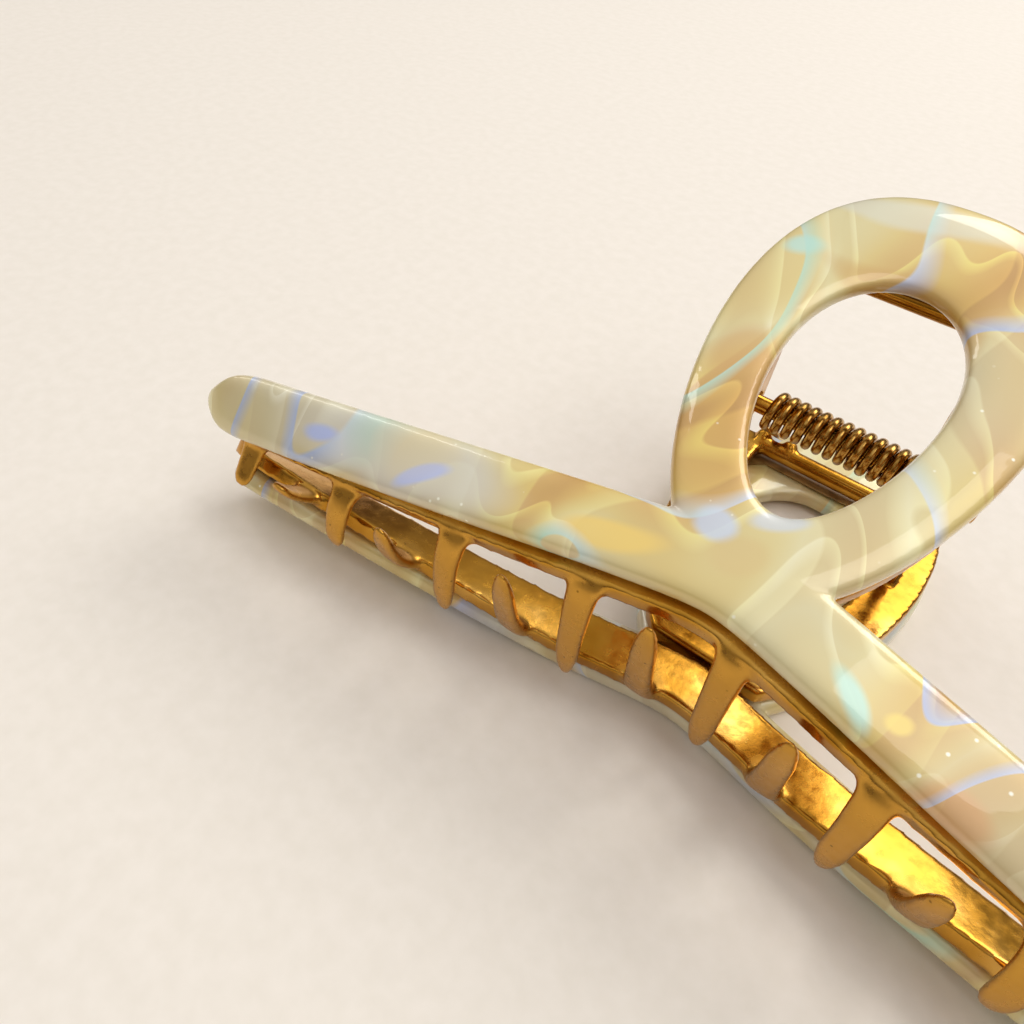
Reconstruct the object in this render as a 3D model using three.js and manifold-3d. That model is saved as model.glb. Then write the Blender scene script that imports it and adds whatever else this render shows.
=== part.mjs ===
// Claw clip: two alike cast frames with acetate covers, a hinge pin and a torsion spring.
// Sizes are in millimetres. The clip is drawn upright first: X along the hinge, Y towards
// the handles, Z out of the front cover. Last it is laid down on its rear loop.
import * as THREE from 'three';
import * as BufferGeometryUtils from 'three/addons/utils/BufferGeometryUtils.js';
import Module from 'manifold-3d';

// Overall sizes
const HALF_LENGTH = 55;
const WAIST_HALF_DEPTH = 11.73;
const HANDLE_TILT = 0.177;

// Cover and frame thicknesses, and the bond line between them
const COVER_THICKNESS = 2.6;
const FRAME_THICKNESS = 2;
const GLUE_THICKNESS = 0.2;
const GLUE_CLEARANCE = 0.15;
const FRAME_INSET = 0.4;
const FRAME_LIP = 0.9;
const GLUE_INSET = 1;
// How far back the casting reaches under the arms: -1 is the toothed edge and 1 the back edge
const STRIP_BACK = 0.3;
const COVER_BEVEL = 0.6;

// Loop handle: an egg outline with an egg hole
const LOOP = { centre: 26.2, halfHeight: 23.6, halfWidth: 14.2, egg: -0.2, square: 0.84 };
const HOLE = { centre: 24.2, halfHeight: 13.8, halfWidth: 7.3, egg: -0.18, square: 1 };
const LOOP_STEPS = 44;
const HOLE_STEPS = 32;

// Arms: a ribbon that droops, narrows the gap and twists towards its tips
const ARM = {
  centre: 3.75,
  halfWidth: 3.75,
  spread: -0.004,
  droop: 0.245,
  droopEase: 0.0005,
  round: 2.5,
  bendFrom: 9,
  bendRound: 6,
  closing: 0.082,
  twist: 0.0191,
  tipLength: 6,
  tipBlunt: 0.3,
};
const ARM_STEPS = 38;
const ARM_EVEN = 0.62;
const ARM_STRIPS = 3;

// Frame window and the spring bar that closes it
const WINDOW = { bottom: 11, halfWidth: 9.2, top: 38.4, waist: 5, shoulder: 21, widest: 31, corner: 2 };
const BAR = { radius: 1.15, up: 40.2, sunk: 0.575 };
const FRAME_TOP = BAR.up + BAR.radius;
const BUMP = { radius: 0.95, spacing: 1.75 };
const WINDOW_STEPS = 10;
const BAR_SIDES = 12;
const BUMP_SIDES = 10;

// Hinge
const HINGE_UP = 33.4;
const PIN_RADIUS = 1;
const PIN_CLEARANCE = 0.3;
const EAR = { thickness: 1.4, wall: 1.3, first: 9.75, clearance: 0.4, rootBelow: 6, rootAbove: 5 };
const PIN_HEAD = { overhang: 0.8, thickness: 0.7, chamfer: 0.25 };
const PIN_SIDES = 20;
const EAR_STEPS = 10;

// Torsion spring
const SPRING = { wire: 0.525, roundPin: 0.315, pitch: 1.19, wholeTurns: 13, overhang: 1.2, clearance: 0.3 };
const SPRING_STEPS = 190;
const SPRING_SIDES = 6;

// Teeth: odd ones on one side of the middle and even ones on the other
const TOOTH = {
  count: 8,
  first: 3.4,
  pitch: 6.54,
  rootWidth: 4.6,
  width: 3.3,
  thickness: 1.9,
  thinning: 0.6,
  narrowing: 1.1,
  flareEnd: 0.3,
  endStart: 0.8,
  endRound: 0.85,
  shrink: 0.35,
  drop: 1.5,
  dropGrowth: 0.3,
  kneeOut: 0.6,
  kneeUp: 0.15,
  reach: -0.2,
  leastReach: 0.2,
  embed: 1,
  cut: 0.35,
};
const TOOTH_STEPS = 8;

const wasm = await Module();
wasm.setup();

const glueTop = -COVER_THICKNESS - GLUE_CLEARANCE;
const frameTop = glueTop - GLUE_THICKNESS - GLUE_CLEARANCE;
const frameBottom = frameTop - FRAME_THICKNESS;
const frameMiddle = (frameTop + frameBottom) / 2;
const bossRadius = PIN_RADIUS + PIN_CLEARANCE + EAR.wall;
const headRadius = PIN_RADIUS + PIN_HEAD.overhang;
const coilRadius = PIN_RADIUS + SPRING.roundPin + SPRING.wire;

// Loop plane: across, up the handle and out of the cover
const across = new THREE.Vector3(1, 0, 0);
const up = new THREE.Vector3(0, Math.cos(HANDLE_TILT), Math.sin(HANDLE_TILT));
const out = new THREE.Vector3(0, -Math.sin(HANDLE_TILT), Math.cos(HANDLE_TILT));
const loopPlane = new THREE.Matrix4().makeBasis(across, up, out).setPosition(0, 0, WAIST_HALF_DEPTH);
const hinge = onLoop(0, HINGE_UP, 0).setZ(0);

function onLoop(x, height, offset) {
  return new THREE.Vector3(x, height, offset).applyMatrix4(loopPlane);
}

// Rounded distance from the middle, so that the arms join in a smooth arch
function softDistance(x, radius) {
  return Math.sqrt(x * x + radius * radius) - radius;
}

// A point of the arm ribbon: v runs from -1 at the toothed edge to 1 at the back edge, which
// is moved in by the inset; the toothed edge is moved out by the lip
function onArm(x, v, offset, inset = 0, lip = -inset) {
  const bend = softDistance(Math.max(0, Math.abs(x) - ARM.bendFrom), ARM.bendRound);
  const angle = HANDLE_TILT + ARM.twist * bend;
  const height = ARM.centre - ARM.droop * softDistance(x, ARM.round) + ARM.droopEase * x * x;
  const middle = onLoop(x, height, 0);
  const fromTip = Math.max(0, Math.abs(x) - HALF_LENGTH + ARM.tipLength) / ARM.tipLength;
  const rounding = Math.sqrt(1 - (1 - ARM.tipBlunt * ARM.tipBlunt) * fromTip * fromTip);
  const half = (ARM.halfWidth + ARM.spread * Math.abs(x)) * rounding + (v < 0 ? lip : -inset);
  return new THREE.Vector3(
    x,
    middle.y + v * half * Math.cos(angle) - offset * Math.sin(angle),
    middle.z - ARM.closing * bend + v * half * Math.sin(angle) + offset * Math.cos(angle),
  );
}

function toSolid(geometry) {
  geometry.deleteAttribute('normal');
  geometry.deleteAttribute('uv');
  const merged = BufferGeometryUtils.mergeVertices(geometry, 1e-5);
  return new wasm.Manifold(new wasm.Mesh({
    numProp: 3,
    vertProperties: new Float32Array(merged.attributes.position.array),
    triVerts: new Uint32Array(merged.index.array),
  }));
}

function toGeometry(solid) {
  const mesh = solid.getMesh();
  const geometry = new THREE.BufferGeometry();
  geometry.setAttribute('position', new THREE.BufferAttribute(new Float32Array(mesh.vertProperties), 3));
  geometry.setIndex(new THREE.BufferAttribute(new Uint32Array(mesh.triVerts), 1));
  return geometry;
}

// A closed section carried along by a rule that places (section x, section y, progress)
function carried(section, steps, place) {
  const geometry = new THREE.ExtrudeGeometry(section, { depth: 1, steps, bevelEnabled: false });
  const position = geometry.attributes.position;
  for (let i = 0; i < position.count; i += 1) {
    const point = place(position.getX(i), position.getY(i), position.getZ(i));
    position.setXYZ(i, point.x, point.y, point.z);
  }
  return toSolid(geometry);
}

// A straight-sided section: a rectangle with its corners cut, less at the bottom if wanted,
// and its long sides in strips, so that a twisted slab stays smooth
function cutRectangle(halfWidth, bottom, top, cutAcross, cutTop, cutBottom = cutTop, strips = 1) {
  const points = [];
  const inner = halfWidth - cutAcross;
  const bottomHalf = cutBottom > 0 ? inner : halfWidth;
  for (let i = 0; i <= strips; i += 1) {
    points.push(new THREE.Vector2(bottomHalf * ((2 * i) / strips - 1), bottom));
  }
  if (cutBottom > 0) {
    points.push(new THREE.Vector2(halfWidth, bottom + cutBottom));
  }
  if (cutTop > 0) {
    points.push(new THREE.Vector2(halfWidth, top - cutTop));
  }
  for (let i = 0; i <= strips; i += 1) {
    points.push(new THREE.Vector2(inner * (1 - (2 * i) / strips), top));
  }
  if (cutTop > 0) {
    points.push(new THREE.Vector2(-halfWidth, top - cutTop));
  }
  if (cutBottom > 0) {
    points.push(new THREE.Vector2(-halfWidth, bottom + cutBottom));
  }
  return new THREE.Shape(points);
}

function eggPoints(egg, steps, inset) {
  const points = [];
  for (let i = 0; i < steps; i += 1) {
    const angle = (2 * Math.PI * i) / steps;
    const side = Math.sin(angle);
    const wide = Math.sign(side) * Math.abs(side) ** egg.square * (1 + egg.egg * Math.cos(angle));
    points.push(new THREE.Vector2(
      (egg.halfWidth - inset) * wide,
      egg.centre - (egg.halfHeight - inset) * Math.cos(angle),
    ));
  }
  return points;
}

// Arm ribbon between two offsets from the cover's face
function armSlab(bottom, top, inset, lip, cut, back = 1) {
  const section = cutRectangle(1, bottom, top, cut / ARM.halfWidth, cut, 0, ARM_STRIPS);
  const reach = HALF_LENGTH - inset;
  return carried(section, ARM_STEPS, (across, offset, progress) => {
    const v = ((across + 1) * (back + 1)) / 2 - 1;
    const even = 2 * progress - 1;
    const x = HALF_LENGTH * (ARM_EVEN * even + (1 - ARM_EVEN) * Math.sin((even * Math.PI) / 2));
    return onArm(Math.min(Math.max(x, -reach), reach), v, offset, inset, lip);
  });
}

// Flat plate in the loop plane between two offsets from the cover's face
function loopSlab(shape, bottom, top, cut, steps) {
  const geometry = new THREE.ExtrudeGeometry(shape, {
    depth: top - bottom - 2 * cut,
    curveSegments: steps,
    bevelEnabled: cut > 0,
    bevelThickness: cut,
    bevelSize: cut,
    bevelOffset: -cut,
    bevelSegments: 1,
  });
  geometry.translate(0, 0, bottom + cut);
  geometry.applyMatrix4(loopPlane);
  return toSolid(geometry);
}

function windowShape(grow) {
  const wide = WINDOW.halfWidth + grow;
  const low = WINDOW.bottom - grow;
  const high = WINDOW.top + grow;
  const shape = new THREE.Shape();
  shape.moveTo(0, low);
  shape.bezierCurveTo(WINDOW.waist, low, wide, WINDOW.shoulder, wide, WINDOW.widest);
  shape.lineTo(wide, high - WINDOW.corner);
  shape.lineTo(wide - WINDOW.corner, high);
  shape.lineTo(WINDOW.corner - wide, high);
  shape.lineTo(-wide, high - WINDOW.corner);
  shape.lineTo(-wide, WINDOW.widest);
  shape.bezierCurveTo(-wide, WINDOW.shoulder, -WINDOW.waist, low, 0, low);
  return shape;
}

// A box given by its corners in the loop plane's own directions
function loopBlock(low, high) {
  const size = high.clone().sub(low);
  const geometry = new THREE.BoxGeometry(size.x, size.y, size.z);
  geometry.translate((low.x + high.x) / 2, (low.y + high.y) / 2, (low.z + high.z) / 2);
  geometry.applyMatrix4(loopPlane);
  return toSolid(geometry);
}

function rod(radius, length, sides, centre) {
  const geometry = new THREE.CylinderGeometry(radius, radius, length, sides);
  geometry.rotateZ(Math.PI / 2);
  geometry.translate(centre.x, centre.y, centre.z);
  return toSolid(geometry);
}

function makeCover() {
  const ring = new THREE.Shape(eggPoints(LOOP, LOOP_STEPS, 0));
  ring.holes.push(new THREE.Path(eggPoints(HOLE, HOLE_STEPS, 0)));
  const loop = loopSlab(ring, -COVER_THICKNESS, 0, COVER_BEVEL, LOOP_STEPS);
  const arms = armSlab(-COVER_THICKNESS, 0, 0, 0, COVER_BEVEL);
  const hole = loopSlab(
    new THREE.Shape(eggPoints(HOLE, HOLE_STEPS, 0)),
    -COVER_THICKNESS - HOLE.halfWidth,
    HOLE.halfWidth,
    0,
    HOLE_STEPS,
  );
  return loop.add(arms.subtract(hole));
}

// The frame's plate, or with more inset the bond line on it: open like a window and cut at the bar
function makePlate(bottom, top, inset, lip) {
  const outline = loopSlab(new THREE.Shape(eggPoints(LOOP, LOOP_STEPS, inset)), bottom, top, 0, LOOP_STEPS);
  const beyond = FRAME_TOP + FRAME_INSET - inset;
  const above = loopBlock(
    new THREE.Vector3(-HALF_LENGTH, beyond, bottom - FRAME_THICKNESS),
    new THREE.Vector3(HALF_LENGTH, beyond + HALF_LENGTH, top + FRAME_THICKNESS),
  );
  const opening = loopSlab(
    windowShape(inset - FRAME_INSET),
    bottom - WINDOW.halfWidth,
    top + WINDOW.halfWidth,
    0,
    WINDOW_STEPS,
  );
  return outline.subtract(above).add(armSlab(bottom, top, inset, lip, 0, STRIP_BACK)).subtract(opening);
}

function barCentre() {
  return onLoop(0, BAR.up, frameBottom + BAR.sunk);
}

// The legs bear on the handle side of each bar, between two bumps
function makeBar() {
  const centre = barCentre();
  const end = WINDOW.halfWidth + BAR.radius;
  let bar = rod(BAR.radius, 2 * end, BAR_SIDES, centre);
  for (const side of [-1, 1]) {
    const bump = new THREE.SphereGeometry(BUMP.radius, BUMP_SIDES, BUMP_SIDES / 2);
    bump.translate(
      legX + side * BUMP.spacing,
      centre.y - BAR.radius * Math.cos(wire.startAngle),
      centre.z + BAR.radius * Math.sin(wire.startAngle),
    );
    bar = bar.add(toSolid(bump));
  }
  return bar;
}

function makeEar(start) {
  const low = onLoop(0, HINGE_UP - EAR.rootBelow, frameMiddle);
  const high = onLoop(0, HINGE_UP + EAR.rootAbove, frameMiddle);
  const shape = new THREE.Shape();
  shape.moveTo(low.y, low.z);
  shape.lineTo(hinge.y - bossRadius, 0);
  shape.absarc(hinge.y, 0, bossRadius, Math.PI, 2 * Math.PI, false);
  shape.lineTo(high.y, high.z);
  shape.closePath();
  const bore = new THREE.Path();
  bore.absarc(hinge.y, 0, PIN_RADIUS + PIN_CLEARANCE, 0, 2 * Math.PI, true);
  shape.holes.push(bore);
  const geometry = new THREE.ExtrudeGeometry(shape, {
    depth: EAR.thickness,
    curveSegments: EAR_STEPS,
    bevelEnabled: false,
  });
  // Shape x and y become Y and Z, and the depth becomes X
  geometry.applyMatrix4(new THREE.Matrix4().makeBasis(
    new THREE.Vector3(0, 1, 0),
    new THREE.Vector3(0, 0, 1),
    new THREE.Vector3(1, 0, 0),
  ));
  geometry.translate(start, 0, 0);
  return toSolid(geometry);
}

// A tooth leaves the frame's edge, bows outwards and crosses towards the other half
function makeTooth(index) {
  const side = index % 2 === 0 ? 1 : -1;
  const x = side * (TOOTH.first + index * TOOTH.pitch);
  const edge = onArm(x, -1, frameMiddle, FRAME_INSET, FRAME_LIP);
  const inward = onArm(x, 0, frameMiddle).sub(edge).normalize();
  const start = edge.clone().addScaledVector(inward, TOOTH.embed);
  const outer = onArm(x, -1, 0, 0, FRAME_LIP);
  const drop = TOOTH.drop + TOOTH.dropGrowth * index;
  const tipZ = -Math.max(edge.z - TOOTH.reach, TOOTH.leastReach * edge.z);
  const tip = new THREE.Vector3(x, edge.y - drop, tipZ);
  const kneeLength = Math.min(
    (edge.y - outer.y + TOOTH.kneeOut) / inward.y,
    (edge.z * (1 - TOOTH.kneeUp)) / inward.z,
  );
  const knee = edge.clone().addScaledVector(inward, -kneeLength);
  const path = new THREE.QuadraticBezierCurve3(start, knee, tip);
  const section = cutRectangle(1, -1, 1, TOOTH.cut, TOOTH.cut);
  const scale = 1 - TOOTH.shrink * (index / (TOOTH.count - 1));
  return carried(section, TOOTH_STEPS, (a, b, progress) => {
    const centre = path.getPoint(progress);
    const along = path.getTangent(progress);
    const flat = new THREE.Vector3(0, along.z, -along.y);
    const end = Math.max(0, progress - TOOTH.endStart) / (1 - TOOTH.endStart);
    const rounding = Math.sqrt(1 - TOOTH.endRound * end * end);
    const flare = Math.max(0, 1 - progress / TOOTH.flareEnd) ** 2;
    const wide = TOOTH.width + (TOOTH.rootWidth - TOOTH.width) * flare - TOOTH.narrowing * progress;
    const thick = TOOTH.thickness - TOOTH.thinning * progress;
    centre.addScaledVector(flat, (b * scale * thick * rounding) / 2);
    centre.x += (a * wide * rounding) / 2;
    return centre;
  });
}

function makeFrame() {
  let frame = makePlate(frameBottom, frameTop, FRAME_INSET, FRAME_LIP).add(makeBar());
  frame = frame.add(makeEar(-EAR.first - EAR.thickness));
  frame = frame.add(makeEar(EAR.first + EAR.thickness + EAR.clearance));
  for (let index = 0; index < TOOTH.count; index += 1) {
    frame = frame.add(makeTooth(index));
  }
  return frame;
}

function makePin() {
  const inside = EAR.first + 2 * EAR.thickness + 2 * EAR.clearance;
  const half = inside + PIN_HEAD.thickness;
  const profile = [
    new THREE.Vector2(0, -half),
    new THREE.Vector2(headRadius - PIN_HEAD.chamfer, -half),
    new THREE.Vector2(headRadius, PIN_HEAD.chamfer - half),
    new THREE.Vector2(headRadius, -inside),
    new THREE.Vector2(PIN_RADIUS, -inside),
    new THREE.Vector2(PIN_RADIUS, inside),
    new THREE.Vector2(headRadius, inside),
    new THREE.Vector2(headRadius, half - PIN_HEAD.chamfer),
    new THREE.Vector2(headRadius - PIN_HEAD.chamfer, half),
    new THREE.Vector2(0, half),
  ];
  const geometry = new THREE.LatheGeometry(profile, PIN_SIDES);
  geometry.rotateZ(Math.PI / 2);
  geometry.translate(0, hinge.y, 0);
  return toSolid(geometry);
}

// One wire: a leg, the coil and the other leg, alike when turned half round
class SpringWire extends THREE.Curve {
  constructor() {
    super();
    const bar = barCentre();
    const reach = Math.hypot(bar.y - hinge.y, bar.z);
    const aim = -Math.atan2(bar.z, bar.y - hinge.y);
    const aside = coilRadius + BAR.radius + SPRING.clearance + SPRING.wire;
    this.tangent = Math.sqrt(reach * reach - aside * aside);
    this.startAngle = aim - Math.acos(aside / reach);
    const part = this.startAngle / Math.PI;
    this.turns = SPRING.wholeTurns + part - Math.floor(part);
    this.leg = this.tangent + SPRING.overhang;
    this.coil = 2 * Math.PI * coilRadius * this.turns;
  }

  getPoint(progress, target = new THREE.Vector3()) {
    const total = 2 * this.leg + this.coil;
    const length = progress * total - this.leg;
    const held = Math.min(Math.max(length, 0), this.coil);
    const turned = held / this.coil;
    const angle = this.startAngle - 2 * Math.PI * this.turns * turned;
    const past = length - held;
    target.set(
      (turned - 0.5) * SPRING.pitch * this.turns,
      hinge.y + coilRadius * Math.cos(angle) + past * Math.sin(angle),
      coilRadius * Math.sin(angle) - past * Math.cos(angle),
    );
    return target;
  }
}

function makeSpring() {
  const section = new THREE.Shape();
  for (let i = 0; i < SPRING_SIDES; i += 1) {
    const angle = (2 * Math.PI * i) / SPRING_SIDES;
    const point = [SPRING.wire * Math.cos(angle), SPRING.wire * Math.sin(angle)];
    if (i === 0) {
      section.moveTo(...point);
    } else {
      section.lineTo(...point);
    }
  }
  section.closePath();
  return toSolid(new THREE.ExtrudeGeometry(section, {
    steps: SPRING_STEPS,
    extrudePath: new SpringWire(),
    bevelEnabled: false,
  }));
}

const GOLD = { color: 0xc8963c, roughness: 0.3, metalness: 1 };
const SPRING_GOLD = { color: 0xb98432, roughness: 0.25, metalness: 1 };
const PEARL = { color: 0xd8c08a, roughness: 0.15, metalness: 0 };
const GLUE = { color: 0xe6dfc8, roughness: 0.6, metalness: 0 };

const wire = new SpringWire();
const legX = (wire.turns * SPRING.pitch) / 2;
const frame = toGeometry(makeFrame());
const cover = toGeometry(makeCover());
const glue = toGeometry(makePlate(glueTop - GLUE_THICKNESS, glueTop, GLUE_INSET, -GLUE_INSET));
const turned = new THREE.Matrix4().makeRotationY(Math.PI);
const pieces = [
  ['rear_frame', frame, turned, GOLD],
  ['rear_glue_line', glue, turned, GLUE],
  ['rear_cover', cover, turned, PEARL],
  ['hinge_pin', toGeometry(makePin()), null, GOLD],
  ['torsion_spring', toGeometry(makeSpring()), null, SPRING_GOLD],
  ['front_frame', frame, null, GOLD],
  ['front_glue_line', glue, null, GLUE],
  ['front_cover', cover, null, PEARL],
];

// Laid on the rear loop's face, then centred over the origin
const laid = new THREE.Matrix4().makeRotationX(HANDLE_TILT);
const whole = new THREE.Box3();
const clip = new THREE.Group();
for (const [name, shape, turn, finish] of pieces) {
  const geometry = shape.clone();
  if (turn) {
    geometry.applyMatrix4(turn);
  }
  geometry.applyMatrix4(laid);
  geometry.computeBoundingBox();
  whole.union(geometry.boundingBox);
  const mesh = new THREE.Mesh(geometry, new THREE.MeshStandardMaterial(finish));
  mesh.name = name;
  clip.add(mesh);
}
const middle = whole.getCenter(new THREE.Vector3());
for (const mesh of clip.children) {
  mesh.geometry.translate(-middle.x, -middle.y, -whole.min.z);
}

export default clip;
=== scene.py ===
# %% [markdown]
# # A gold and pearl claw clip
# The clip has two equal halves. Each half is a gold-plated casting with curved teeth, and a thick
# cover of pearl acetate bonded onto it. A pin hinges the halves, and a coil spring on the pin
# pushes the two handle loops apart, so the jaws stay shut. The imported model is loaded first: it
# gives the places of the pin, the covers and the frames.

from math import atan2, acos, cos, hypot, pi, radians, sin, sqrt

import bmesh
import bpy
from mathutils import Matrix, Vector
from mathutils.kdtree import KDTree


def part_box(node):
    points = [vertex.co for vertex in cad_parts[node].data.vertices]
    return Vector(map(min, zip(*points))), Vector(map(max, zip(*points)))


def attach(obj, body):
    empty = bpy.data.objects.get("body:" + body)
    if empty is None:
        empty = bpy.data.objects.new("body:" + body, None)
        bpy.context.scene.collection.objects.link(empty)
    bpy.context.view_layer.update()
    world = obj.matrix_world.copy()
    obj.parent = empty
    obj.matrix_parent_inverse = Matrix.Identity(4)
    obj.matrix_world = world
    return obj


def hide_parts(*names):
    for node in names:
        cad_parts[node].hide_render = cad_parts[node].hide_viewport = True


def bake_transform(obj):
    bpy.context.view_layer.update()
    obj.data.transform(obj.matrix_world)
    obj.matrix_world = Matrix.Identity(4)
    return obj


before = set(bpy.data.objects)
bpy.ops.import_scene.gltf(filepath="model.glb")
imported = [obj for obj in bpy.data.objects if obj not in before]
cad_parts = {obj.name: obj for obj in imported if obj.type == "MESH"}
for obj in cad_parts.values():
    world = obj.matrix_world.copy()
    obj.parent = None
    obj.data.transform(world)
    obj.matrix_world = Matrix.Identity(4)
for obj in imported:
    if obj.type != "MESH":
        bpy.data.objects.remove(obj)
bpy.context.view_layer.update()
pin_low, pin_high = (Vector(corner) * 1000 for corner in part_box("hinge_pin"))
pin_centre = (pin_low + pin_high) / 2
print("pin centre in mm", tuple(round(value, 2) for value in pin_centre))

# %% [markdown]
# ## Camera and view
# The clip lies on a table and is seen from above its left front side. A camera could be turned
# with three angles, but three direction vectors read straight off as right, down and forward.

# %% Camera
right = Vector((0.7649, 0.6419, 0.0519))
down = Vector((0.4657, -0.4952, -0.7333))
forward = Vector((-0.445, 0.5850, -0.6777))
camera_data = bpy.data.cameras.new("camera")
camera_data.lens, camera_data.sensor_width = 30.32, 36
camera_data.shift_x, camera_data.shift_y = 0.07705, -0.06865
camera_data.clip_start = 0.005
camera = bpy.data.objects.new("camera", camera_data)
bpy.context.collection.objects.link(camera)
turn = Matrix((right, -down, -forward)).transposed()
camera.matrix_world = Matrix.Translation((0.00748, -0.06995, 0.07734)) @ turn.to_4x4()
bpy.context.scene.camera = camera
print("camera at", tuple(round(value, 3) for value in camera.matrix_world.translation))

# %% [markdown]
# ## The shape both halves share
# Everything is drawn upright in millimetres: X along the hinge, Y towards the handles and Z out
# of the front cover. Each loop is a flat egg that leans away from the other half. The arms are a
# ribbon that leaves the loop plane, droops and twists inwards. One matrix lays the front half on
# the table, and the same matrix after half a turn about Y lays the rear half.

# %% Sizes in millimetres
half_length = 55
waist_depth = 11.73
tilt = 0.177
cover_thickness = 2.6
frame_bottom, frame_middle = -5.1, -4.1
frame_inset, frame_lip, strip_back = 0.4, 0.9, 0.3
hinge_up = 33.4
arm = {"up": 3.75, "fall": 0.245, "waist": 2.5, "lift": 0.0005, "flat": 9, "soft": 6,
       "twist": 0.0191, "droop": 0.082, "half_width": 3.75, "narrowing": 0.004, "tip": 6,
       "tip_round": 0.91}
loop = {"centre": 26.2, "height": 23.6, "width": 14.2, "egg": -0.2, "square": 0.84}
hole = {"centre": 24.2, "height": 13.8, "width": 7.3, "egg": -0.18, "square": 1}
window = {"bottom": 11, "width": 9.2, "waist": 5, "shoulder": 21, "widest": 31}
bar_up, bar_radius, bump_radius, bump_spacing = 40.2, 1.15, 0.95, 1.75

# %% Place the halves
hinge_y = hinge_up * cos(tilt)
laid = (Matrix.Scale(0.001, 4) @ Matrix.Translation(pin_centre) @ Matrix.Rotation(tilt, 4, "X")
        @ Matrix.Translation((0, -hinge_y, 0)))
turned = laid @ Matrix.Rotation(pi, 4, "Y")
halves = {"front": (laid, "front_jaw"), "rear": (turned, "rear_jaw")}
print("front waist at", tuple(round(v, 4) for v in laid @ Vector((0, 0, waist_depth))))


# %% Loop plane and arm ribbon
def on_loop(x, height, offset):
    """A point at a height on the loop's plane, offset towards the outside of the clip."""
    return Vector((x, height * cos(tilt) - offset * sin(tilt),
                   waist_depth + height * sin(tilt) + offset * cos(tilt)))


def soft_distance(x, radius):
    return sqrt(x * x + radius * radius) - radius


def on_arm(x, across, offset, inset=0.0, lip=0.0):
    """Across runs from -1 at the toothed edge to 1 at the back edge."""
    bend = soft_distance(max(0, abs(x) - arm["flat"]), arm["soft"])
    angle = tilt + arm["twist"] * bend
    height = arm["up"] - arm["fall"] * soft_distance(x, arm["waist"]) + arm["lift"] * x * x
    middle = on_loop(x, height, 0)
    from_tip = min(1, max(0, abs(x) - half_length + arm["tip"]) / arm["tip"])
    rounding = sqrt(1 - arm["tip_round"] * from_tip * from_tip)
    half = (arm["half_width"] - arm["narrowing"] * abs(x)) * rounding
    half += lip if across < 0 else -inset
    y = middle.y + across * half * cos(angle) - offset * sin(angle)
    z = middle.z - arm["droop"] * bend + across * half * sin(angle) + offset * cos(angle)
    return Vector((x, y, z))


def egg_point(egg, angle, inset):
    """Sideways and upwards place on an egg outline, from its foot at angle 0."""
    side = sin(angle)
    wide = (1 if side >= 0 else -1) * abs(side) ** egg["square"] * (1 + egg["egg"] * cos(angle))
    return (egg["width"] - inset) * wide, egg["centre"] - (egg["height"] - inset) * cos(angle)


# %% [markdown]
# ## Finishing helpers
# A shape starts from one of bmesh's own bodies and each of its vertices is then moved by a rule.
# The bodies of one casting overlap. Boolean unions would leave knife edges where they meet, so
# they are melted together with a fine voxel remesh instead, which also gives the small fillets
# that casting and polishing leave. A few rounds of smoothing remove the voxel steps.

# %% Move a body's vertices by a rule
def shaped(bm, rule):
    for vertex in bm.verts:
        vertex.co = rule(*vertex.co)
    return bm


def added(target, source):
    """Put one body into a bmesh that collects them."""
    mesh = bpy.data.meshes.new("part")
    bmesh.ops.recalc_face_normals(source, faces=source.faces)
    source.to_mesh(mesh)
    source.free()
    target.from_mesh(mesh)
    bpy.data.meshes.remove(mesh)


# %% A closed slab: u from 0 to 1, v and w from -1 to 1
def thickened(bm, thickness):
    raised = bmesh.ops.extrude_face_region(bm, geom=bm.faces[:])
    top = [part for part in raised["geom"] if isinstance(part, bmesh.types.BMVert)]
    bmesh.ops.translate(bm, verts=top, vec=(0, 0, thickness))


def slab(long_steps, cross_steps):
    bm = bmesh.new()
    bmesh.ops.create_grid(bm, x_segments=long_steps, y_segments=cross_steps, size=1)
    thickened(bm, 2)
    place = Matrix.Translation((0.5, 0, -1)) @ Matrix.Diagonal((0.5, 1, 1, 1))
    bmesh.ops.transform(bm, matrix=place, verts=bm.verts)
    return bm


# %% Melt overlapping bodies into one skin
# The voxel is a quarter of a millimetre, about the smallest fillet on the real clip.
voxel = 0.24


def melted(name, bm, rounds):
    mesh = bpy.data.meshes.new(name)
    bmesh.ops.triangulate(bm, faces=bm.faces)
    bm.to_mesh(mesh)
    bm.free()
    draft = bpy.data.objects.new(name + "_draft", mesh)
    bpy.context.collection.objects.link(draft)
    remesh = draft.modifiers.new("melt", "REMESH")
    remesh.mode = "VOXEL"
    remesh.voxel_size = voxel
    remesh.use_smooth_shade = True
    smooth = draft.modifiers.new("polish", "SMOOTH")
    smooth.factor = 0.5
    smooth.iterations = rounds
    seen = draft.evaluated_get(bpy.context.evaluated_depsgraph_get())
    shape = bpy.data.meshes.new_from_object(seen)
    bpy.data.objects.remove(draft)
    print(name, len(shape.polygons), "faces")
    return shape


# %% Put a finished shape on one half
def piece(name, mesh, matrix, body, replaced=()):
    mesh = mesh.copy()
    mesh.name = name
    mesh.transform(matrix)
    obj = bpy.data.objects.new(name, mesh)
    bpy.context.collection.objects.link(obj)
    mesh.shade_smooth()
    if body:
        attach(obj, body)
    if replaced:
        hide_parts(*replaced)
    return obj


# %% [markdown]
# ## Acetate covers
# A cover is sawn from thick sheet and tumbled until its edges are round and its face slightly
# crowned. A plain extrusion with a bevel would keep the face dead flat. A sphere stretched along
# the arms gives closed rounded tips at its poles, and a ring spun from a rounded section becomes
# the egg-shaped loop. Powers below 1 turn their round sections into soft rectangles.

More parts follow.
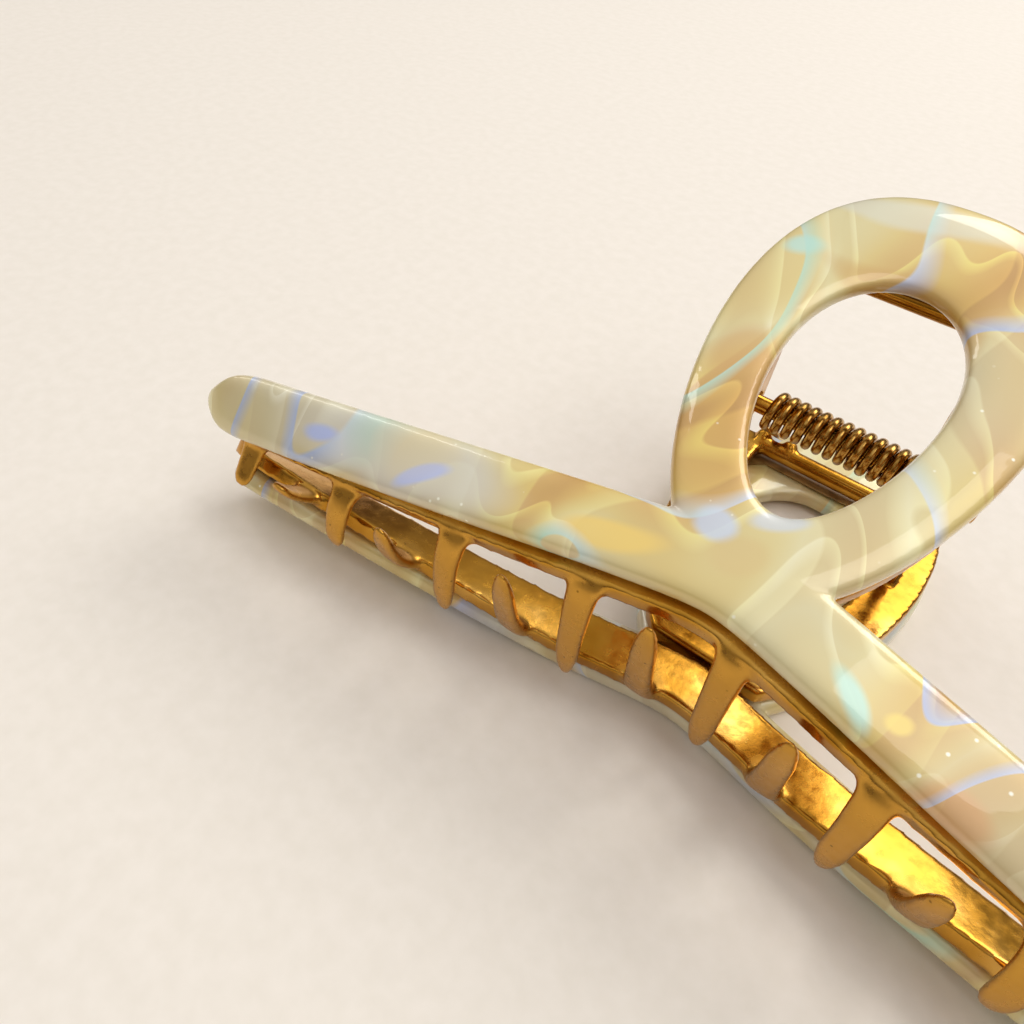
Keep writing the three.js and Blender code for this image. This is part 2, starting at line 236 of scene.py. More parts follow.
# %% Rounded section: a soft rectangle, slightly crowned
arm_corner, arm_side, loop_corner = 0.42, 0.62, 0.55
arm_crown, loop_crown, tip_round = 0.12, 0.14, 3.2
tip_least = 0.02


def soft_power(value, power):
    return (1 if value >= 0 else -1) * abs(value) ** power


# %% Body of the two arms
def cover_arm(u_steps=64, v_steps=220):
    bm = bmesh.new()
    bmesh.ops.create_uvsphere(bm, u_segments=u_steps, v_segments=v_steps, radius=1)

    def rule(x, y, z):
        ring = max(1e-6, hypot(x, y))
        along = 1 - 2 * acos(max(-1, min(1, z))) / pi
        far = half_length * (0.86 * along + 0.14 * soft_power(along, 3))
        end = max(0, abs(far) - half_length + tip_round) / tip_round
        close = sqrt(max(0, 1 - end * end))
        across = soft_power(x / ring, arm_corner) * (1 if close == 1 else close ** 0.35)
        through = soft_power(y / ring, arm_side)
        crown = arm_crown * (1 - across * across)
        rise = through * (cover_thickness / 2 + crown / 2) * max(tip_least, close)
        return on_arm(far, across * max(tip_least, close), rise - cover_thickness / 2)

    return shaped(bm, rule)


# %% Body of the loop
def cover_loop(ring_steps=150, section_steps=40):
    bm = bmesh.new()
    upright = Matrix.Translation((3, 0, 0)) @ Matrix.Rotation(pi / 2, 4, "X")
    made = bmesh.ops.create_circle(bm, segments=section_steps, radius=1, matrix=upright)
    bmesh.ops.spin(bm, geom=made["verts"] + bm.edges[:], cent=(0, 0, 0), axis=(0, 0, 1),
                   angle=2 * pi, steps=ring_steps, use_merge=True)

    def rule(x, y, z):
        ring = hypot(x, y)
        angle = atan2(y, x)
        across, through = soft_power(ring - 3, loop_corner), soft_power(z, loop_corner)
        outer, inner = egg_point(loop, angle, 0), egg_point(hole, angle, 0)
        share = (across + 1) / 2
        crown = loop_crown * (1 - across * across)
        rise = through * (cover_thickness / 2 + crown / 2)
        wide = inner[0] + (outer[0] - inner[0]) * share
        high = inner[1] + (outer[1] - inner[1]) * share
        return on_loop(wide, high, rise - cover_thickness / 2)

    return shaped(bm, rule)


# %% Melt the cover and put one on each half
cover = bmesh.new()
added(cover, cover_arm())
added(cover, cover_loop())
cover_mesh = melted("cover", cover, 7)
covers = [piece(half + "_acetate", cover_mesh, matrix, body, (half + "_cover",))
          for half, (matrix, body) in halves.items()]

# %% [markdown]
# ## Gold castings
# Each casting is one piece of zinc: a strip under the arms with a fine lip along its toothed
# edge, two rails beside the window in the loop, a round bar across the end with two bumps for
# the spring, two hinge ears and eight curved teeth. Modelling it as one cage would need a loop
# cut at every tooth, so the bodies are made one by one and melted.

# %% Strip under the arms
lip_step = 0.25


def frame_arm():
    def rule(u, v, w):
        far = (2 * u - 1) * (half_length - frame_inset)
        depth = frame_middle + w * (frame_middle - frame_bottom)
        edge = frame_lip - (lip_step if w > 0 else 0)
        return on_arm(far, (v + 1) * (strip_back + 1) / 2 - 1, depth, frame_inset, edge)

    return shaped(slab(240, 10), rule)


# %% Rails beside the window
def window_half(height):
    """Half the window's width at a height, along a cubic that widens from the waist."""
    if height <= window["bottom"]:
        return 0.0
    low, high = 0.0, 1.0
    for _ in range(24):
        t = (low + high) / 2
        up = (((1 - t) ** 3 + 3 * (1 - t) ** 2 * t) * window["bottom"]
              + 3 * (1 - t) * t * t * window["shoulder"] + t ** 3 * window["widest"])
        low, high = (t, high) if up < height else (low, t)
    return 3 * (1 - t) ** 2 * t * window["waist"] + (3 * (1 - t) * t * t + t ** 3) * window["width"]


def loop_half(height, inset):
    """Half the loop's width at a height."""
    share = max(-1, min(1, (loop["centre"] - height) / (loop["height"] - inset)))
    angle = acos(share)
    return abs(egg_point(loop, angle, inset)[0])


rail_bottom, rail_top = 5.5, bar_up + bar_radius


def frame_rail(side):
    def rule(u, v, w):
        height = rail_bottom + u * (rail_top - rail_bottom)
        inner, outer = window_half(height), loop_half(height, frame_inset)
        wide = inner + (outer - inner) * (v + 1) / 2
        return on_loop(side * wide, height, frame_middle + w * (frame_middle - frame_bottom))

    return shaped(slab(150, 6), rule)


# %% Where the spring lies, because the bumps hold its leg
bar_centre = on_loop(0, bar_up, frame_bottom + bar_radius / 2)
spring_radius, spring_wire, spring_pitch = 1.84, 0.525, 1.19
reach = hypot(bar_centre.y - hinge_y, bar_centre.z)
aside = spring_radius + bar_radius + 0.3 + spring_wire
start_angle = -atan2(bar_centre.z, bar_centre.y - hinge_y) - acos(aside / reach)
turns = 13 + (start_angle / pi) % 1
leg_x = turns * spring_pitch / 2
print("spring turns", round(turns, 2), "leg at x", round(leg_x, 2), "mm")


# %% Bar with its two bumps
def rod(radius, length, centre, sides=32):
    bm = bmesh.new()
    bmesh.ops.create_cone(bm, cap_ends=True, segments=sides, radius1=radius, radius2=radius,
                          depth=length,
                          matrix=Matrix.Translation(centre) @ Matrix.Rotation(pi / 2, 4, "Y"))
    return bm


def frame_bar(target):
    added(target, rod(bar_radius, 2 * (window["width"] + bar_radius), bar_centre))
    outwards = Vector((0, -bar_radius * cos(start_angle), bar_radius * sin(start_angle)))
    for side in (-1, 1):
        place = bar_centre + outwards + Vector((leg_x + side * bump_spacing, 0, 0))
        bump = bmesh.new()
        bmesh.ops.create_uvsphere(bump, u_segments=24, v_segments=16, radius=bump_radius,
                                  matrix=Matrix.Translation(place))
        added(target, bump)


# %% Hinge ears with a bore for the pin
ear_inner, ear_thick, ear_gap = 9.75, 1.4, 0.4
ear_bore, ear_boss, ear_down, ear_up = 1.3, 2.6, 6, 5


def ear(start):
    """The half ring round the bore spreads into the rail that carries the ear."""
    low = on_loop(0, hinge_up - ear_down, frame_middle)
    high = on_loop(0, hinge_up + ear_up, frame_middle)
    bm = bmesh.new()
    bmesh.ops.create_circle(bm, segments=40, radius=ear_bore)
    outside = bmesh.ops.create_circle(bm, segments=40, radius=ear_boss)["verts"]
    bmesh.ops.bridge_loops(bm, edges=bm.edges[:])
    for vertex in outside:
        if vertex.co.y > 0:
            share = (1 + vertex.co.x / ear_boss) / 2
            edge = low.lerp(high, share)
            vertex.co = Vector((edge.y - hinge_y, edge.z, 0))
    thickened(bm, ear_thick)
    return shaped(bm, lambda x, y, z: Vector((start + z, hinge_y + x, y)))


# %% [markdown]
# The teeth curve in towards the other jaw. A tooth could be a curve with a taper, but a curve's
# section stays round. A sphere stretched along a path gives a closed tip and lets the section be
# a soft rectangle that widens at the root. The teeth alternate left and right, so that the two
# jaws interleave when one is the other turned half a turn.

# %% Path of a tooth
tooth_count = 8
tooth_at = {"first": 3.4, "pitch": 6.54, "drop": 1.5, "more_drop": 0.3, "reach": 0.2,
            "knee_out": 0.6, "knee_most": 0.85}


def tooth_path(index):
    """Start inside the strip, knee outside it, and tip near the other jaw."""
    side = 1 if index % 2 == 0 else -1
    x = side * (tooth_at["first"] + index * tooth_at["pitch"])
    edge = on_arm(x, -1, frame_middle, frame_inset, frame_lip)
    inward = (on_arm(x, 0, frame_middle) - edge).normalized()
    outer = on_arm(x, -1, 0, 0, frame_lip)
    down = tooth_at["drop"] + tooth_at["more_drop"] * index
    reach = tooth_at["reach"]
    tip = Vector((x, edge.y - down, -max(edge.z + reach, reach * edge.z)))
    knee_length = min((edge.y - outer.y + tooth_at["knee_out"]) / inward.y,
                      edge.z * tooth_at["knee_most"] / inward.z)
    return edge + inward, edge - inward * knee_length, tip


def on_path(path, t):
    start, knee, tip = path
    return start * (1 - t) ** 2 + knee * 2 * t * (1 - t) + tip * t * t


# %% Curved teeth
tooth_wide, tooth_flare, tooth_taper = 3.3, 1.5, 1.1
tooth_thick, tooth_thins, tooth_shrink, tooth_soft = 1.9, 0.6, 0.35, 0.6


def tooth(index):
    start, knee, tip = path = tooth_path(index)
    scale = 1 - tooth_shrink * index / (tooth_count - 1)
    bm = bmesh.new()
    bmesh.ops.create_uvsphere(bm, u_segments=28, v_segments=40, radius=1)

    def rule(x, y, z):
        ring = max(1e-6, hypot(x, y))
        t = acos(max(-1, min(1, z))) / pi
        centre = on_path(path, t)
        along = ((knee - start) * (1 - t) + (tip - knee) * t).normalized()
        flat = Vector((0, along.z, -along.y))
        end = max(0, t - 0.8) / 0.2
        root = max(0, 0.06 - t) / 0.06
        close = sqrt(max(0, 1 - end * end)) * sqrt(max(0, 1 - root * root))
        wide = tooth_wide + tooth_flare * max(0, 1 - t / 0.3) ** 2 - tooth_taper * t
        thick = tooth_thick - tooth_thins * t
        centre = centre + flat * (soft_power(y / ring, tooth_soft) * scale * thick * close / 2)
        centre.x += soft_power(x / ring, tooth_soft) * wide * close / 2
        return centre

    return shaped(bm, rule)


# %% Melt the casting
casting = bmesh.new()
added(casting, frame_arm())
for side in (-1, 1):
    added(casting, frame_rail(side))
frame_bar(casting)
added(casting, ear(-ear_inner - ear_thick))
added(casting, ear(ear_inner + ear_thick + ear_gap))
for index in range(tooth_count):
    added(casting, tooth(index))
casting_mesh = melted("casting", casting, 9)

# %% [markdown]
# The teeth are less polished than the strips. They could get their own material slot, but its
# border would be sharp, so each vertex gets a mark that fades with its distance from a tooth.

# %% Mark the teeth
path_steps, mark_far, mark_fade = 24, 2.7, 0.9
tree = KDTree(tooth_count * path_steps)
for index in range(tooth_count):
    path = tooth_path(index)
    for step in range(path_steps):
        tree.insert(on_path(path, 0.2 + 0.8 * step / (path_steps - 1)), index)
tree.balance()
near_tooth = [max(0.0, min(1.0, (mark_far - tree.find(vertex.co)[2]) / mark_fade))
              for vertex in casting_mesh.vertices]
marks = casting_mesh.attributes.new("unpolished", "FLOAT", "POINT")
marks.data.foreach_set("value", near_tooth)
print("mean mark", round(sum(near_tooth) / len(near_tooth), 2))
castings = [piece(half + "_casting", casting_mesh, matrix, body, (half + "_frame",))
            for half, (matrix, body) in halves.items()]

# %% [markdown]
# ## Pin and spring
# The pin is turned wire with two headed ends, so half of its outline is spun round its axis, as
# on a lathe. The spring is one wire: a leg that bears on a bar, a close coil round the pin, and
# a leg to the other bar. A ring of the wire's section is extruded along that path.

# %% Pin
pin_radius, head_radius, head_thick = 1, 1.8, 0.7
head_face, head_shoulder = (1.35, 0), (1.68, 0.1)
head_full, head_rim = 0.35, 0.08


def pin():
    inside = ear_inner + 2 * ear_thick + 2 * ear_gap
    half = inside + head_thick
    rows = [(0, half), (head_face[0], half), (head_shoulder[0], half - head_shoulder[1]),
            (head_radius, half - head_full), (head_radius, inside + head_rim),
            (head_radius - head_rim, inside), (pin_radius, inside)]
    rows = [(radius, -along) for radius, along in rows] + rows[::-1]
    bm = bmesh.new()
    line = [bm.verts.new((0, radius, along)) for radius, along in rows]
    edges = [bm.edges.new(pair) for pair in zip(line, line[1:])]
    bmesh.ops.spin(bm, geom=line + edges, cent=(0, 0, 0), axis=(0, 0, 1), angle=2 * pi, steps=64,
                   use_merge=True)
    bmesh.ops.remove_doubles(bm, verts=bm.verts, dist=1e-5)
    bmesh.ops.recalc_face_normals(bm, faces=bm.faces)
    mesh = bpy.data.meshes.new("pin")
    shaped(bm, lambda x, y, z: Vector((z, hinge_y + x, y))).to_mesh(mesh)
    bm.free()
    return mesh


pin_piece = piece("turned_pin", pin(), laid, "rear_jaw", ("hinge_pin",))
bevel = pin_piece.modifiers.new("edge", "BEVEL")
bevel.width, bevel.segments = 0.00008, 2
bevel.limit_method, bevel.angle_limit = "ANGLE", radians(50)

# %% Spring wire path
leg = sqrt(reach * reach - aside * aside) + 1.2
coil = 2 * pi * spring_radius * turns


def wire_point(progress):
    """A point of the wire's middle line, from 0 at one leg's end to 1 at the other's."""
    length = progress * (2 * leg + coil) - leg
    held = min(max(length, 0), coil)
    angle = start_angle - 2 * pi * turns * held / coil
    past = length - held
    return Vector(((held / coil - 0.5) * spring_pitch * turns,
                   hinge_y + spring_radius * cos(angle) + past * sin(angle),
                   spring_radius * sin(angle) - past * cos(angle)))


# %% Spring swept along that path
def spring(steps=760, sides=14):
    points = [wire_point(step / steps) for step in range(steps + 1)]
    places = []
    normal = Vector((1, 0, 0))
    for step, point in enumerate(points):
        along = (points[min(step + 1, steps)] - points[max(step - 1, 0)]).normalized()
        normal = (normal - along * normal.dot(along)).normalized()
        facing = Matrix((normal, along.cross(normal), along)).transposed().to_4x4()
        places.append(Matrix.Translation(point) @ facing)
    bm = bmesh.new()
    bmesh.ops.create_circle(bm, segments=sides, radius=spring_wire, matrix=places[0])
    rim = bm.edges[:]
    for before, after in zip(places, places[1:]):
        made = bmesh.ops.extrude_edge_only(bm, edges=rim)["geom"]
        ring = [part for part in made if isinstance(part, bmesh.types.BMVert)]
        rim = [part for part in made if isinstance(part, bmesh.types.BMEdge) and part.is_boundary]
        bmesh.ops.transform(bm, matrix=after @ before.inverted(), verts=ring)
    bmesh.ops.holes_fill(bm, edges=bm.edges)
    bmesh.ops.recalc_face_normals(bm, faces=bm.faces)
    mesh = bpy.data.meshes.new("spring")
    bm.to_mesh(mesh)
    bm.free()
    print("spring", len(mesh.polygons), "faces")
    return mesh


spring_piece = piece("coil_spring", spring(), laid, None, ("torsion_spring",))
rear_end, front_end = (laid @ Vector((side * 0.85 * leg_x, hinge_y, 0)) for side in (-1, 1))
tuple(rear_end)
tuple(front_end)
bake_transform(spring_piece)

# %% [markdown]
# ## Finishes
# Colours are written as they look on screen, and one function turns them into light values. One
# function adds a node with its settings and links and gives back an output. A pattern's scale is
# worked out from the size that one of its marks has on the real clip.

# %% Colours and pattern sizes
def shade(text, alpha=1.0):
    parts = [int(text[i:i + 2], 16) / 255 for i in (0, 2, 4)]
    return tuple(p / 12.92 if p <= 0.04045 else ((p + 0.055) / 1.055) ** 2.4
                 for p in parts) + (alpha,)


def per_mark(millimetres):
    """Texture scale that gives about one mark in that many millimetres."""
    return 1000 / millimetres


# %% Add a node
def node(owner, kind, inputs, out=0, stops=(), **settings):
    """A ramp's stops are hex colours, or plain numbers where the ramp makes a mask."""
    made = owner.node_tree.nodes.new(kind)
    for name, value in settings.items():
        setattr(made, name, value)
    for socket, value in inputs.items():
        if isinstance(value, bpy.types.NodeSocket):
            owner.node_tree.links.new(value, made.inputs[socket])
        else:
            made.inputs[socket].default_value = value
    for place, colour in stops[2:]:
        made.color_ramp.elements.new(place)
    for index, (place, colour) in enumerate(stops):
        element = made.color_ramp.elements[index]
        element.position = place
        element.color = shade(colour) if isinstance(colour, str) else (colour, colour, colour, 1)
    return made.outputs[out] if made.outputs else made


def finish(name):
    material = bpy.data.materials.new(name)
    material.use_nodes = True
    material.node_tree.nodes.clear()
    return material, node(material, "ShaderNodeTexCoord", {}, "Object")


# %% [markdown]
# ### Pearl acetate
# The covers are cellulose acetate sheet, tumbled and polished. The sheet holds layers of pearl
# flakes that were folded while soft, so the face shows silky cream and champagne zones with
# curved edges and blue-grey clouds, all under a clear skin. A few glints are painted highlights,
# light dots that stand for lamps mirrored in the skin. Plain noise would look like marble. Noise
# whose place is bent by a second noise gives the folds.

# %% Pearl acetate: places bent by a soft noise
# The sheet was pulled along one slant, so every pattern is stretched along it. The bends are
# 25 mm apart and move the pattern by up to 12 mm.
bend_apart, bend_by = 25, 0.024
pearl, where = finish("pearl_acetate_polished")
stretched = node(pearl, "ShaderNodeMapping", {
    "Vector": where, "Rotation": (0.2, 0.1, 0.7), "Scale": (1.5, 0.7, 1.0)})
bend = node(pearl, "ShaderNodeTexNoise", {
    "Vector": stretched, "Scale": per_mark(bend_apart), "Detail": 1.0}, "Color")
shift = node(pearl, "ShaderNodeVectorMath", {0: bend, 1: (0.5, 0.5, 0.5)}, operation="SUBTRACT")
moved = node(pearl, "ShaderNodeVectorMath", {0: shift, "Scale": bend_by}, operation="SCALE")
folded = node(pearl, "ShaderNodeVectorMath", {0: stretched, 1: moved}, operation="ADD")


# %% Pearl acetate: folds that brighten slowly and end in a sharp curved edge
def fold(soft_size, times, across):
    """Across is how many folds there are per metre along each axis."""
    soft = node(pearl, "ShaderNodeTexNoise", {
        "Vector": folded, "Scale": per_mark(soft_size), "Detail": 0.0})
    many = node(pearl, "ShaderNodeMath", {0: soft, 1: times}, operation="MULTIPLY")
    even = node(pearl, "ShaderNodeVectorMath", {0: folded, 1: across}, "Value",
                operation="DOT_PRODUCT")
    both = node(pearl, "ShaderNodeMath", {0: many, 1: even}, operation="ADD")
    return node(pearl, "ShaderNodeMath", {0: both}, operation="FRACT")


# Broad folds are about 12 mm apart and fine ones about 6 mm.
broad = fold(1000 / 60, 2.2, (65, 45, 20))
fine = fold(1000 / 110, 2.4, (-90, 120, 40))

# %% Pearl acetate: clouds of gold and cream, and a pale mist
# Clouds are about 23 mm across and the mist's patches about 33 mm.
clouds = node(pearl, "ShaderNodeTexNoise", {
    "Vector": folded, "Scale": per_mark(1000 / 44), "Detail": 1.0})
tone = node(pearl, "ShaderNodeValToRGB", {0: clouds}, stops=[
    (0.28, "c9a25e"), (0.38, "d8bb78"), (0.47, "e0d09a"), (0.55, "e2dabb"), (0.64, "dcc68e"),
    (0.76, "cda96a")])
veil = node(pearl, "ShaderNodeTexNoise", {
    "Vector": folded, "Scale": per_mark(1000 / 30), "Detail": 1.0})
mist = node(pearl, "ShaderNodeValToRGB", {0: veil}, stops=[(0.48, 0.0), (0.62, 0.8)])
toned = node(pearl, "ShaderNodeMix", {0: mist, 6: tone, 7: shade("dcd8d0")}, 2, data_type="RGBA")

# %% Pearl acetate: light and dark sides of the folds
light_broad = node(pearl, "ShaderNodeValToRGB", {0: broad}, stops=[
    (0.0, "b0a893"), (0.45, "b0a893"), (0.96, "dcd4b8"), (1.0, "b0a893")])
light_fine = node(pearl, "ShaderNodeValToRGB", {0: fine}, stops=[
    (0.0, "b0a794"), (0.72, "b0a794"), (0.97, "fff6da"), (1.0, "b0a794")])
silk = node(pearl, "ShaderNodeMix", {0: 0.5, 6: toned, 7: light_broad}, 2,
            data_type="RGBA", blend_type="OVERLAY")
silk = node(pearl, "ShaderNodeMix", {0: 0.4, 6: silk, 7: light_fine}, 2,
            data_type="RGBA", blend_type="OVERLAY")

# %% [markdown]
# Some flakes lie in larger pools of one colour. Each pool is a soft ellipsoid in the sheet. Its
# middle is a place on the front cover's arm or loop, its half sizes are in millimetres and its
# turn is in degrees, and the bent places give it an uneven edge. Together they set where this
# cover is golden, blue-white or lilac. The two amber pools at the hole's upper rim are partly
# painted shade: they darken the rim where it turns into the hole's shaded far wall.

# %% Pearl acetate: pools of colour
pool_uneven, pool_edge, pool_heart = 0.008, 1.05, 0.55
nudge = node(pearl, "ShaderNodeVectorMath", {0: shift, "Scale": pool_uneven}, operation="SCALE")
uneven = node(pearl, "ShaderNodeVectorMath", {0: where, 1: nudge}, operation="ADD")
pools = [
    ("gold along the right arm", on_arm(22, -0.5, 0), (17, 5.5, 6), -27, "d3b878", 0.5),
    ("gold at the loop's right", on_loop(13, 33, 0), (6, 9, 6), 0, "d2b878", 0.4),
    ("lilac on the left arm", on_arm(-31, 0.3, 0), (15, 4.5, 6), 12, "dad7d3", 0.65),
    ("pale left tip", on_arm(-49, 0, 0), (5, 4, 5), 20, "ddd2a8", 0.6),
    ("gold by the left root", on_arm(-9.5, 0.1, 0), (5, 1.9, 4), 22, "f2d070", 0.85),
    ("blue-white left of the waist", on_loop(-3.5, 7.5, 0), (2.4, 1.7, 4), -20, "ccd9f0", 0.8),
    ("blue-white right of the waist", on_loop(1, 9.5, 0), (2.8, 1.4, 4), 15, "cfd8e6", 0.7),
    ("green at the loop's shoulder", on_loop(-11, 37.5, 0), (2.8, 1.3, 4), 50, "bfe8de", 0.8),
    ("green on the right arm", on_arm(11, -0.5, 0), (2.8, 1, 4), -45, "c4ecdf", 0.85),
    ("yellow on the right arm", on_arm(14, -0.2, 0), (1.3, 0.9, 4), 30, "f4d870", 0.8),
    ("blue streak on the left arm", on_arm(-28, 0, 0), (3.6, 0.8, 4), 28, "b9c9ff", 0.8),
    ("blue streak near the left tip", on_arm(-39.5, 0.7, 0), (2.6, 0.7, 4), 8, "b4c6ff", 0.8),
    ("amber on the loop's left", on_loop(-12, 23.5, 0), (2.8, 4.5, 5), -15, "d2a262", 0.6),
    # Painted shade: the next two pools put a darker amber on the hole's top and upper right rim.
    ("amber with painted shade at the hole's top rim", on_loop(-4, 37.5, 0), (7, 2.3, 5), 0, "cda25c", 0.6),
    ("amber with painted shade at the hole's upper right rim", on_loop(5, 33, 0), (2.2, 5, 5), 10, "d0a560", 0.5),
    ("peach on the right arm", on_arm(21, -0.7, 0), (4.5, 2, 4), -12, "dea873", 0.65),
    ("grey along the loop's top", on_loop(-5, 46.5, 0), (10, 2.2, 5), 0, "dddccb", 0.65),
    ("cream at the waist", on_arm(-0.5, 0.4, 0), (2.8, 2.2, 4), 0, "dcc084", 0.5),
]
for name, middle, half, turned_by, colour, strength in pools:
    local = node(pearl, "ShaderNodeMapping", {
        "Vector": uneven, "Location": tuple(laid @ middle),
        "Rotation": (0, 0, radians(turned_by)), "Scale": [value / 1000 for value in half],
    }, vector_type="TEXTURE", label=name)
    away = node(pearl, "ShaderNodeVectorMath", {0: local}, "Value", operation="LENGTH")
    pool = node(pearl, "ShaderNodeMapRange", {
        0: away, 1: pool_edge, 2: pool_heart, 3: 0.0, 4: strength}, interpolation_type="SMOOTHSTEP")
    silk = node(pearl, "ShaderNodeMix", {0: pool, 6: silk, 7: shade(colour)}, 2, data_type="RGBA")
print(len(pools), "pools of colour")

# %% Pearl acetate: blue and green gleams
# Gleams are thin lines about 14 mm apart, and their hue changes every 17 mm or so.
gleam = fold(1000 / 45, 2.0, (40, -55, 15))
gleam_mask = node(pearl, "ShaderNodeValToRGB", {0: gleam}, stops=[
    (0.80, 0.0), (0.98, 0.75), (1.0, 0.0)])
hue = node(pearl, "ShaderNodeTexNoise", {
    "Vector": where, "Scale": per_mark(1000 / 60), "Detail": 0.0})
gleam_colour = node(pearl, "ShaderNodeValToRGB", {0: hue}, stops=[
    (0.38, "a9c0f0"), (0.50, "d8e2ee"), (0.60, "b4e2d2"), (0.70, "f4d878")])
gleaming = node(pearl, "ShaderNodeMix", {0: gleam_mask, 6: silk, 7: gleam_colour}, 2,
                data_type="RGBA")

# %% Pearl acetate: small painted glints
# The glints are painted highlights: near-white dots that stand for lamps mirrored in the glossy
# skin. A glint is about 0.3 mm wide, in cells of 1.8 mm, and glints gather in patches 12.5 mm
# apart. They are coarser than real glints, as coarse as they need to be to show.
cells = node(pearl, "ShaderNodeTexVoronoi", {"Vector": where, "Scale": per_mark(1000 / 560)},
             "Distance")
spots = node(pearl, "ShaderNodeValToRGB", {0: cells}, stops=[(0.05, 1.0), (0.11, 0.0)])
patch = node(pearl, "ShaderNodeTexNoise", {
    "Vector": where, "Scale": per_mark(12.5), "Detail": 0.0})
near = node(pearl, "ShaderNodeValToRGB", {0: patch}, stops=[(0.60, 0.0), (0.67, 1.0)])
painted_glints = node(pearl, "ShaderNodeMix", {0: 1.0, 6: spots, 7: near}, 2,
              data_type="RGBA", blend_type="MULTIPLY")
# Painted highlight: the glint mask mixes near-white into the cover's colour.
sheet = node(pearl, "ShaderNodeMix", {0: painted_glints, 6: gleaming, 7: shade("fffbe8")}, 2,
             data_type="RGBA")

# %% Pearl acetate: silky depth under a clear skin
# The flakes are a little metallic and satin. The polished acetate above them is a clear coat
# with the index of cellulose acetate, which gives the eye crisp highlights over soft ones. The
# folds stand 0.6 mm deep in the bump, at a small strength, because they lie under the skin.
depth = node(pearl, "ShaderNodeMix", {0: 0.35, 6: broad, 7: fine}, 2, data_type="RGBA")
flow = node(pearl, "ShaderNodeBump", {"Strength": 0.12, "Distance": 0.0006, "Height": depth})
skin = node(pearl, "ShaderNodeBsdfPrincipled", {
    "Base Color": sheet, "Normal": flow, "Metallic": 0.15, "Roughness": 0.38,
    "Coat Weight": 1.0, "Coat Roughness": 0.03, "Coat IOR": 1.5})
node(pearl, "ShaderNodeOutputMaterial", {"Surface": skin})
print("pearl nodes", len(pearl.node_tree.nodes))

# %% [markdown]
# ### Gold plate
# The castings are zinc, tumbled and plated with a thin gold wash. The strips were polished first
# and mirror their surroundings with a fine sparkle. The teeth are hard to reach with a wheel, so
# they stay satin and show small pits. Two materials would meet in a hard line; the mark that was
# made on the teeth mixes the two finishes instead.

# %% Gold plate: colour and pits
# The waves of an uneven polish are 6.7 mm long. A pit is about 0.2 mm wide, in cells of 1.4 mm.
gold, where = finish("gold_plate_on_zinc")
matt = node(gold, "ShaderNodeAttribute", {}, "Fac", attribute_name="unpolished")
waves = node(gold, "ShaderNodeTexNoise", {
    "Vector": where, "Scale": per_mark(1000 / 150), "Detail": 2.0})
plate = node(gold, "ShaderNodeValToRGB", {0: waves}, stops=[
    (0.35, "ab7420"), (0.55, "c48e34"), (0.72, "d6a552")])
duller = node(gold, "ShaderNodeMix", {0: matt, 6: plate, 7: shade("c9953f")}, 2, data_type="RGBA")
pits = node(gold, "ShaderNodeTexVoronoi", {"Vector": where, "Scale": per_mark(1000 / 700)},
            "Distance")
pit = node(gold, "ShaderNodeValToRGB", {0: pits}, stops=[(0.05, "594b30"), (0.11, "ffffff")])
pitted = node(gold, "ShaderNodeMix", {0: matt, 6: shade("ffffff"), 7: pit}, 2, data_type="RGBA")
stained = node(gold, "ShaderNodeMix", {0: 0.6, 6: duller, 7: pitted}, 2,
               data_type="RGBA", blend_type="MULTIPLY")

# %% Gold plate: polish and relief
# The casting's grain is about 1.1 mm, coarser than the real one so that it shows, and breaks up
# the mirror. The teeth are 0.1 rougher than the strips.
grain = node(gold, "ShaderNodeTexNoise", {
    "Vector": where, "Scale": per_mark(1000 / 900), "Detail": 3.0})
rough = node(gold, "ShaderNodeMapRange", {0: grain, 1: 0.35, 2: 0.7, 3: 0.14, 4: 0.30})
satin = node(gold, "ShaderNodeMapRange", {0: matt, 3: 0.0, 4: 0.10})
total = node(gold, "ShaderNodeMath", {0: rough, 1: satin}, operation="ADD")
uneven_cast = node(gold, "ShaderNodeMix", {0: 0.5, 6: waves, 7: grain}, 2, data_type="RGBA")
relief = node(gold, "ShaderNodeBump", {
    "Strength": 0.12, "Distance": 0.0003, "Height": uneven_cast})
skin = node(gold, "ShaderNodeBsdfPrincipled", {
    "Base Color": stained, "Normal": relief, "Metallic": 1.0, "Roughness": total})
node(gold, "ShaderNodeOutputMaterial", {"Surface": skin})
print("gold nodes", len(gold.node_tree.nodes))

# %% [markdown]
# ### Spring wire and adhesive
# The wire is drawn through a die and then washed with gold, so it is bright, with marks of the
# die about 0.8 mm apart that are darker and smoother. The adhesive is a thin amber seam that is
# hardly seen, a little cloudy every 2.5 mm.

# %% Spring wire
wire_gold, where = finish("gold_washed_spring_wire")
drawn = node(wire_gold, "ShaderNodeTexNoise", {
    "Vector": where, "Scale": per_mark(1000 / 1300), "Detail": 2.0})
wire_colour = node(wire_gold, "ShaderNodeValToRGB", {0: drawn}, stops=[
    (0.35, "8a6226"), (0.60, "c99d52")])
wire_rough = node(wire_gold, "ShaderNodeMapRange", {0: drawn, 3: 0.10, 4: 0.30})
skin = node(wire_gold, "ShaderNodeBsdfPrincipled", {
    "Base Color": wire_colour, "Metallic": 1.0, "Roughness": wire_rough})
node(wire_gold, "ShaderNodeOutputMaterial", {"Surface": skin})

# %% Adhesive
amber, where = finish("cured_adhesive")
cured = node(amber, "ShaderNodeTexNoise", {"Vector": where, "Scale": per_mark(2.5), "Detail": 2.0})
amber_colour = node(amber, "ShaderNodeValToRGB", {0: cured}, stops=[
    (0.4, "8a6a35"), (0.6, "b8965a")])
skin = node(amber, "ShaderNodeBsdfPrincipled", {"Base Color": amber_colour, "Roughness": 0.4})
node(amber, "ShaderNodeOutputMaterial", {"Surface": skin})


# %% Give every piece its finish
def dressed(obj, material):
    obj.data.materials.clear()
    obj.data.materials.append(material)


